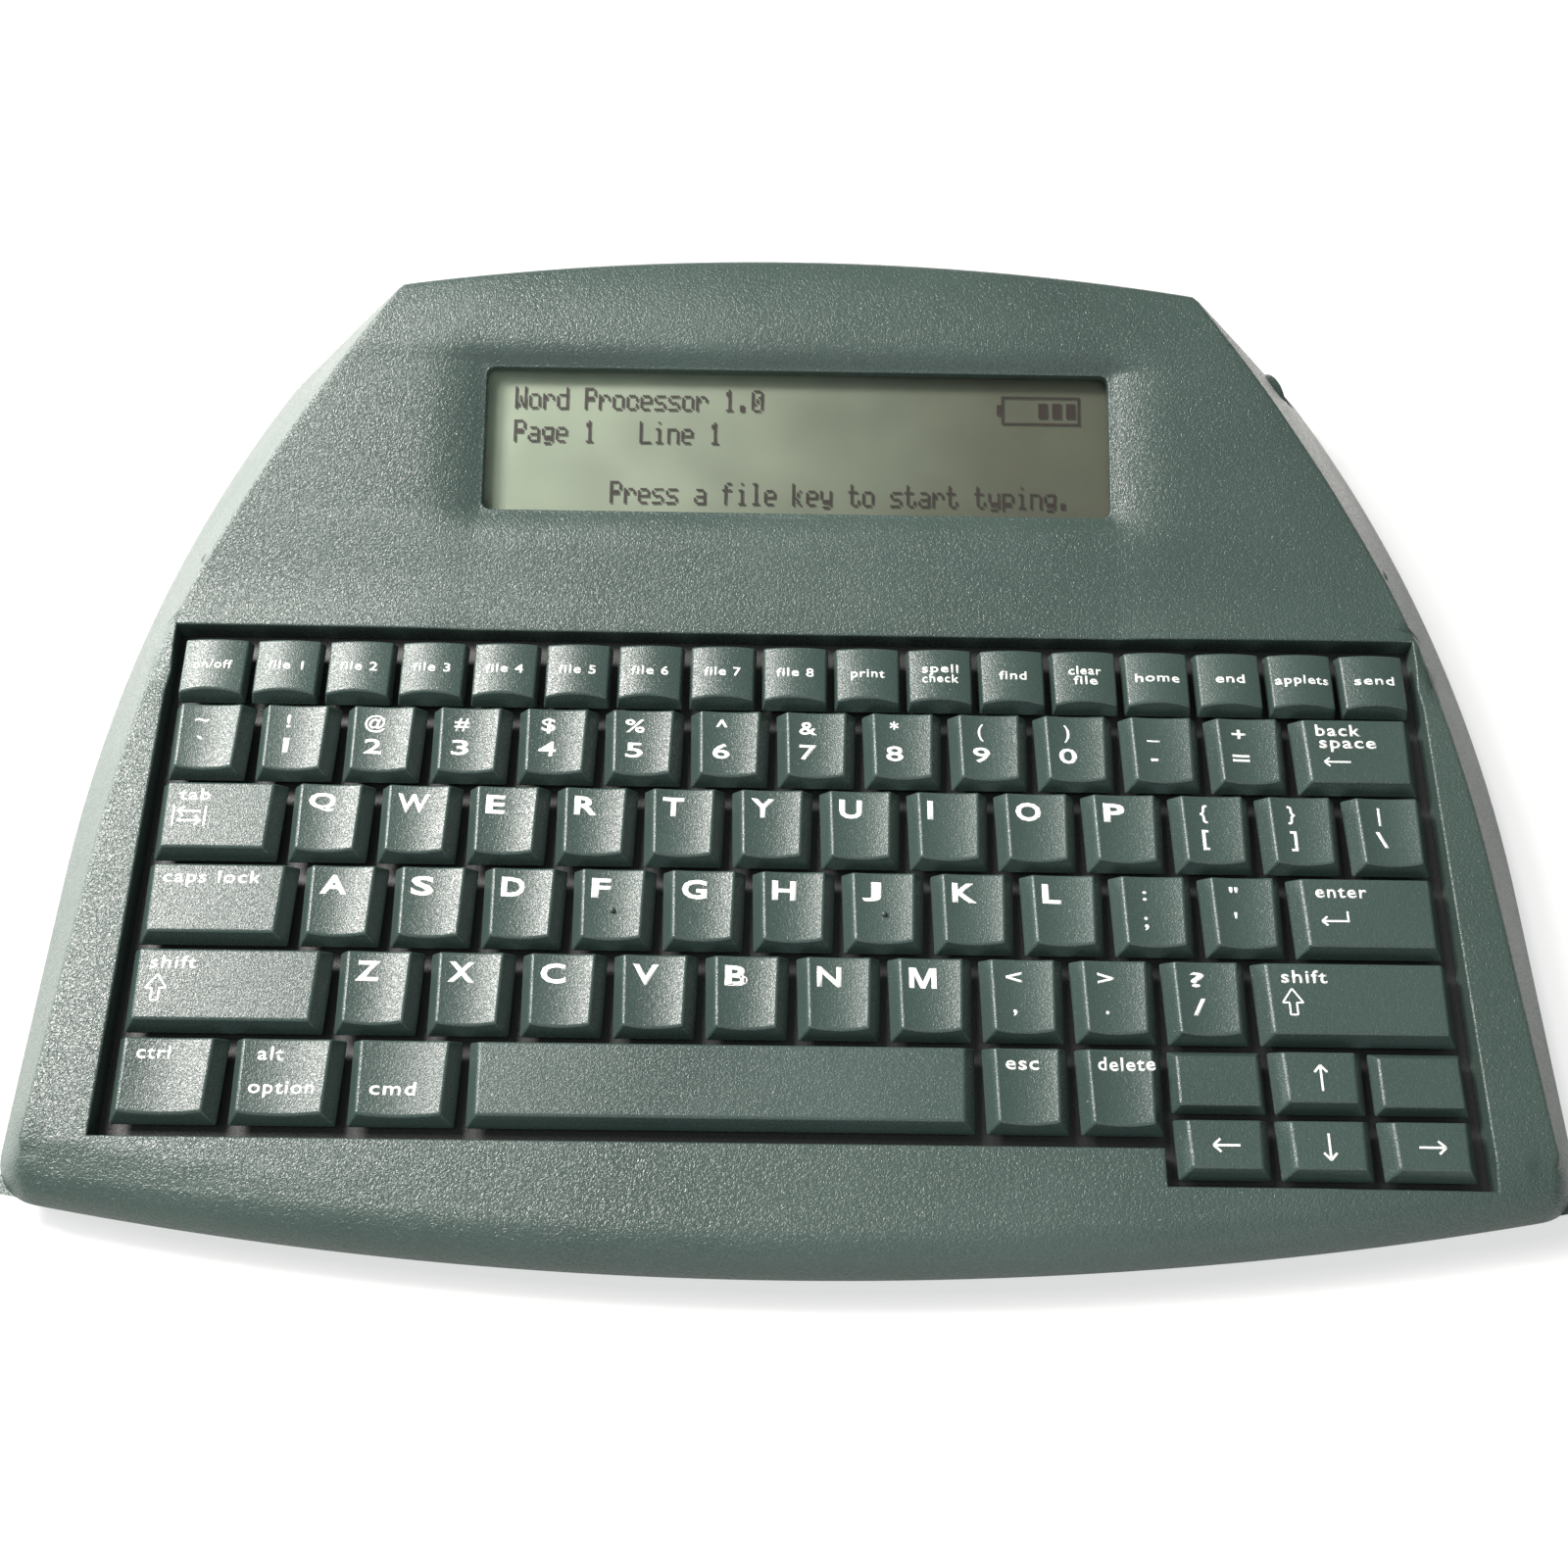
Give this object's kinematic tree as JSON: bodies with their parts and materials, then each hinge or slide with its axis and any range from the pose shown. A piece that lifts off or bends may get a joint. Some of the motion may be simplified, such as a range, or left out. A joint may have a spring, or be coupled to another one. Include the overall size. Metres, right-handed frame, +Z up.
{
  "type": "electronic word processor",
  "caption": "Wedge-shaped portable keyboard computer with a raised hood, a small recessed LCD, full-size sprung keys, rear sockets and a sliding battery door underneath.",
  "frame": {"origin": "on the table, under the middle of the housing's bounding box", "axes": "+X to the user's right, along the keyboard; +Y away from the user, towards the display; +Z up"},
  "size_m": [0.3188, 0.2444, 0.05],
  "materials": {
    "housing": "moulded ABS with a fine spark texture",
    "keycap": "moulded ABS, fine grain, pad-printed legends",
    "display_window": "clear acrylic window",
    "lcd_glass": "reflective LCD glass, grey-green",
    "black_plastic": "black moulded plastic",
    "circuit_board": "green solder-masked board",
    "silicone": "translucent silicone rubber",
    "polyester": "printed polyester film",
    "steel": "plain sheet and wire",
    "battery_wrap": "plain printed sleeve",
    "rubber": "soft foot rubber",
    "screw_metal": "zinc-plated steel"
  },
  "bodies": {
    "root": {"top_shell": "housing", "bottom_shell": "housing", "display_window": "display_window", "lcd_panel": "lcd_glass", "lcd_frame": "black_plastic", "lcd_board": "circuit_board", "keyboard_frame": "black_plastic", "dome_sheet": "silicone", "membrane_circuit": "polyester", "keyboard_backplate": "steel", "main_board": "circuit_board", "board_chips": "black_plastic", "usb_socket": "steel", "serial_socket": "black_plastic", "dc_jack": "black_plastic", "battery_contacts": "steel", "batteries": "battery_wrap", "backup_cell": "steel", "rubber_feet": "rubber", "case_screws": "screw_metal", "blank_caps": "keycap", "flat_cables": "polyester"},
    "battery_door": {"battery_door": "housing"},
    "spacebar_stabiliser": {"spacebar_stabiliser": "steel"},
    "space_bar": {"space_bar": "keycap"},
    "left_shift": {"left_shift": "keycap"},
    "right_shift": {"right_shift": "keycap"},
    "enter_key": {"enter_key": "keycap"},
    "backspace_key": {"backspace_key": "keycap"},
    "function_keys": {"function_keys": "keycap"},
    "number_keys": {"number_keys": "keycap"},
    "punctuation_keys": {"punctuation_keys": "keycap"},
    "modifier_keys": {"modifier_keys": "keycap"},
    "arrow_keys": {"arrow_keys": "keycap"},
    "key_q": {"key_q": "keycap"},
    "key_w": {"key_w": "keycap"},
    "key_e": {"key_e": "keycap"},
    "key_r": {"key_r": "keycap"},
    "key_t": {"key_t": "keycap"},
    "key_y": {"key_y": "keycap"},
    "key_u": {"key_u": "keycap"},
    "key_i": {"key_i": "keycap"},
    "key_o": {"key_o": "keycap"},
    "key_p": {"key_p": "keycap"},
    "key_a": {"key_a": "keycap"},
    "key_s": {"key_s": "keycap"},
    "key_d": {"key_d": "keycap"},
    "key_f": {"key_f": "keycap"},
    "key_g": {"key_g": "keycap"},
    "key_h": {"key_h": "keycap"},
    "key_j": {"key_j": "keycap"},
    "key_k": {"key_k": "keycap"},
    "key_l": {"key_l": "keycap"},
    "key_z": {"key_z": "keycap"},
    "key_x": {"key_x": "keycap"},
    "key_c": {"key_c": "keycap"},
    "key_v": {"key_v": "keycap"},
    "key_b": {"key_b": "keycap"},
    "key_n": {"key_n": "keycap"},
    "key_m": {"key_m": "keycap"}
  },
  "joints": [
    {"name": "space_bar_press", "type": "slide", "parent": "root", "child": "space_bar", "axis": [0, 0.0785, -0.9969], "range_m": [0, 0.0028], "stiffness_N_per_m": 150, "springref_m": -0.002, "deforming": ["dome_sheet"]},
    {"name": "left_shift_press", "type": "slide", "parent": "root", "child": "left_shift", "axis": [0, 0.0785, -0.9969], "range_m": [0, 0.0028], "stiffness_N_per_m": 150, "springref_m": -0.002, "deforming": ["dome_sheet"]},
    {"name": "right_shift_press", "type": "slide", "parent": "root", "child": "right_shift", "axis": [0, 0.0785, -0.9969], "range_m": [0, 0.0028], "stiffness_N_per_m": 150, "springref_m": -0.002, "deforming": ["dome_sheet"]},
    {"name": "enter_key_press", "type": "slide", "parent": "root", "child": "enter_key", "axis": [0, 0.0785, -0.9969], "range_m": [0, 0.0028], "stiffness_N_per_m": 150, "springref_m": -0.002, "deforming": ["dome_sheet"]},
    {"name": "backspace_key_press", "type": "slide", "parent": "root", "child": "backspace_key", "axis": [0, 0.0785, -0.9969], "range_m": [0, 0.0028], "stiffness_N_per_m": 150, "springref_m": -0.002, "deforming": ["dome_sheet"]},
    {"name": "function_keys_press", "type": "slide", "parent": "root", "child": "function_keys", "axis": [0, 0.0785, -0.9969], "range_m": [0, 0.0028], "stiffness_N_per_m": 2550, "springref_m": -0.002, "deforming": ["dome_sheet"]},
    {"name": "number_keys_press", "type": "slide", "parent": "root", "child": "number_keys", "axis": [0, 0.0785, -0.9969], "range_m": [0, 0.0028], "stiffness_N_per_m": 1950, "springref_m": -0.002, "deforming": ["dome_sheet"]},
    {"name": "punctuation_keys_press", "type": "slide", "parent": "root", "child": "punctuation_keys", "axis": [0, 0.0785, -0.9969], "range_m": [0, 0.0028], "stiffness_N_per_m": 1200, "springref_m": -0.002, "deforming": ["dome_sheet"]},
    {"name": "modifier_keys_press", "type": "slide", "parent": "root", "child": "modifier_keys", "axis": [0, 0.0785, -0.9969], "range_m": [0, 0.0028], "stiffness_N_per_m": 1050, "springref_m": -0.002, "deforming": ["dome_sheet"]},
    {"name": "arrow_keys_press", "type": "slide", "parent": "root", "child": "arrow_keys", "axis": [0, 0.0785, -0.9969], "range_m": [0, 0.0028], "stiffness_N_per_m": 600, "springref_m": -0.002, "deforming": ["dome_sheet"]},
    {"name": "key_q_press", "type": "slide", "parent": "root", "child": "key_q", "axis": [0, 0.0785, -0.9969], "range_m": [0, 0.0028], "stiffness_N_per_m": 150, "springref_m": -0.002, "deforming": ["dome_sheet"]},
    {"name": "key_w_press", "type": "slide", "parent": "root", "child": "key_w", "axis": [0, 0.0785, -0.9969], "range_m": [0, 0.0028], "stiffness_N_per_m": 150, "springref_m": -0.002, "deforming": ["dome_sheet"]},
    {"name": "key_e_press", "type": "slide", "parent": "root", "child": "key_e", "axis": [0, 0.0785, -0.9969], "range_m": [0, 0.0028], "stiffness_N_per_m": 150, "springref_m": -0.002, "deforming": ["dome_sheet"]},
    {"name": "key_r_press", "type": "slide", "parent": "root", "child": "key_r", "axis": [0, 0.0785, -0.9969], "range_m": [0, 0.0028], "stiffness_N_per_m": 150, "springref_m": -0.002, "deforming": ["dome_sheet"]},
    {"name": "key_t_press", "type": "slide", "parent": "root", "child": "key_t", "axis": [0, 0.0785, -0.9969], "range_m": [0, 0.0028], "stiffness_N_per_m": 150, "springref_m": -0.002, "deforming": ["dome_sheet"]},
    {"name": "key_y_press", "type": "slide", "parent": "root", "child": "key_y", "axis": [0, 0.0785, -0.9969], "range_m": [0, 0.0028], "stiffness_N_per_m": 150, "springref_m": -0.002, "deforming": ["dome_sheet"]},
    {"name": "key_u_press", "type": "slide", "parent": "root", "child": "key_u", "axis": [0, 0.0785, -0.9969], "range_m": [0, 0.0028], "stiffness_N_per_m": 150, "springref_m": -0.002, "deforming": ["dome_sheet"]},
    {"name": "key_i_press", "type": "slide", "parent": "root", "child": "key_i", "axis": [0, 0.0785, -0.9969], "range_m": [0, 0.0028], "stiffness_N_per_m": 150, "springref_m": -0.002, "deforming": ["dome_sheet"]},
    {"name": "key_o_press", "type": "slide", "parent": "root", "child": "key_o", "axis": [0, 0.0785, -0.9969], "range_m": [0, 0.0028], "stiffness_N_per_m": 150, "springref_m": -0.002, "deforming": ["dome_sheet"]},
    {"name": "key_p_press", "type": "slide", "parent": "root", "child": "key_p", "axis": [0, 0.0785, -0.9969], "range_m": [0, 0.0028], "stiffness_N_per_m": 150, "springref_m": -0.002, "deforming": ["dome_sheet"]},
    {"name": "key_a_press", "type": "slide", "parent": "root", "child": "key_a", "axis": [0, 0.0785, -0.9969], "range_m": [0, 0.0028], "stiffness_N_per_m": 150, "springref_m": -0.002, "deforming": ["dome_sheet"]},
    {"name": "key_s_press", "type": "slide", "parent": "root", "child": "key_s", "axis": [0, 0.0785, -0.9969], "range_m": [0, 0.0028], "stiffness_N_per_m": 150, "springref_m": -0.002, "deforming": ["dome_sheet"]},
    {"name": "key_d_press", "type": "slide", "parent": "root", "child": "key_d", "axis": [0, 0.0785, -0.9969], "range_m": [0, 0.0028], "stiffness_N_per_m": 150, "springref_m": -0.002, "deforming": ["dome_sheet"]},
    {"name": "key_f_press", "type": "slide", "parent": "root", "child": "key_f", "axis": [0, 0.0785, -0.9969], "range_m": [0, 0.0028], "stiffness_N_per_m": 150, "springref_m": -0.002, "deforming": ["dome_sheet"]},
    {"name": "key_g_press", "type": "slide", "parent": "root", "child": "key_g", "axis": [0, 0.0785, -0.9969], "range_m": [0, 0.0028], "stiffness_N_per_m": 150, "springref_m": -0.002, "deforming": ["dome_sheet"]},
    {"name": "key_h_press", "type": "slide", "parent": "root", "child": "key_h", "axis": [0, 0.0785, -0.9969], "range_m": [0, 0.0028], "stiffness_N_per_m": 150, "springref_m": -0.002, "deforming": ["dome_sheet"]},
    {"name": "key_j_press", "type": "slide", "parent": "root", "child": "key_j", "axis": [0, 0.0785, -0.9969], "range_m": [0, 0.0028], "stiffness_N_per_m": 150, "springref_m": -0.002, "deforming": ["dome_sheet"]},
    {"name": "key_k_press", "type": "slide", "parent": "root", "child": "key_k", "axis": [0, 0.0785, -0.9969], "range_m": [0, 0.0028], "stiffness_N_per_m": 150, "springref_m": -0.002, "deforming": ["dome_sheet"]},
    {"name": "key_l_press", "type": "slide", "parent": "root", "child": "key_l", "axis": [0, 0.0785, -0.9969], "range_m": [0, 0.0028], "stiffness_N_per_m": 150, "springref_m": -0.002, "deforming": ["dome_sheet"]},
    {"name": "key_z_press", "type": "slide", "parent": "root", "child": "key_z", "axis": [0, 0.0785, -0.9969], "range_m": [0, 0.0028], "stiffness_N_per_m": 150, "springref_m": -0.002, "deforming": ["dome_sheet"]},
    {"name": "key_x_press", "type": "slide", "parent": "root", "child": "key_x", "axis": [0, 0.0785, -0.9969], "range_m": [0, 0.0028], "stiffness_N_per_m": 150, "springref_m": -0.002, "deforming": ["dome_sheet"]},
    {"name": "key_c_press", "type": "slide", "parent": "root", "child": "key_c", "axis": [0, 0.0785, -0.9969], "range_m": [0, 0.0028], "stiffness_N_per_m": 150, "springref_m": -0.002, "deforming": ["dome_sheet"]},
    {"name": "key_v_press", "type": "slide", "parent": "root", "child": "key_v", "axis": [0, 0.0785, -0.9969], "range_m": [0, 0.0028], "stiffness_N_per_m": 150, "springref_m": -0.002, "deforming": ["dome_sheet"]},
    {"name": "key_b_press", "type": "slide", "parent": "root", "child": "key_b", "axis": [0, 0.0785, -0.9969], "range_m": [0, 0.0028], "stiffness_N_per_m": 150, "springref_m": -0.002, "deforming": ["dome_sheet"]},
    {"name": "key_n_press", "type": "slide", "parent": "root", "child": "key_n", "axis": [0, 0.0785, -0.9969], "range_m": [0, 0.0028], "stiffness_N_per_m": 150, "springref_m": -0.002, "deforming": ["dome_sheet"]},
    {"name": "key_m_press", "type": "slide", "parent": "root", "child": "key_m", "axis": [0, 0.0785, -0.9969], "range_m": [0, 0.0028], "stiffness_N_per_m": 150, "springref_m": -0.002, "deforming": ["dome_sheet"]},
    {"name": "battery_door_slide", "type": "slide", "parent": "root", "child": "battery_door", "axis": [0, 1, 0], "range_m": [0, 0.008]},
    {"name": "stabiliser_swing", "type": "hinge", "parent": "root", "child": "spacebar_stabiliser", "pos_m": [-0.01429, -0.07981, 0.01222], "axis": [1, 0, 0], "range_deg": [0, 17.5]}
  ],
  "couplings": [
    {"joint": "stabiliser_swing", "follows": "space_bar_press", "rad_per_m": 107.2}
  ]
}
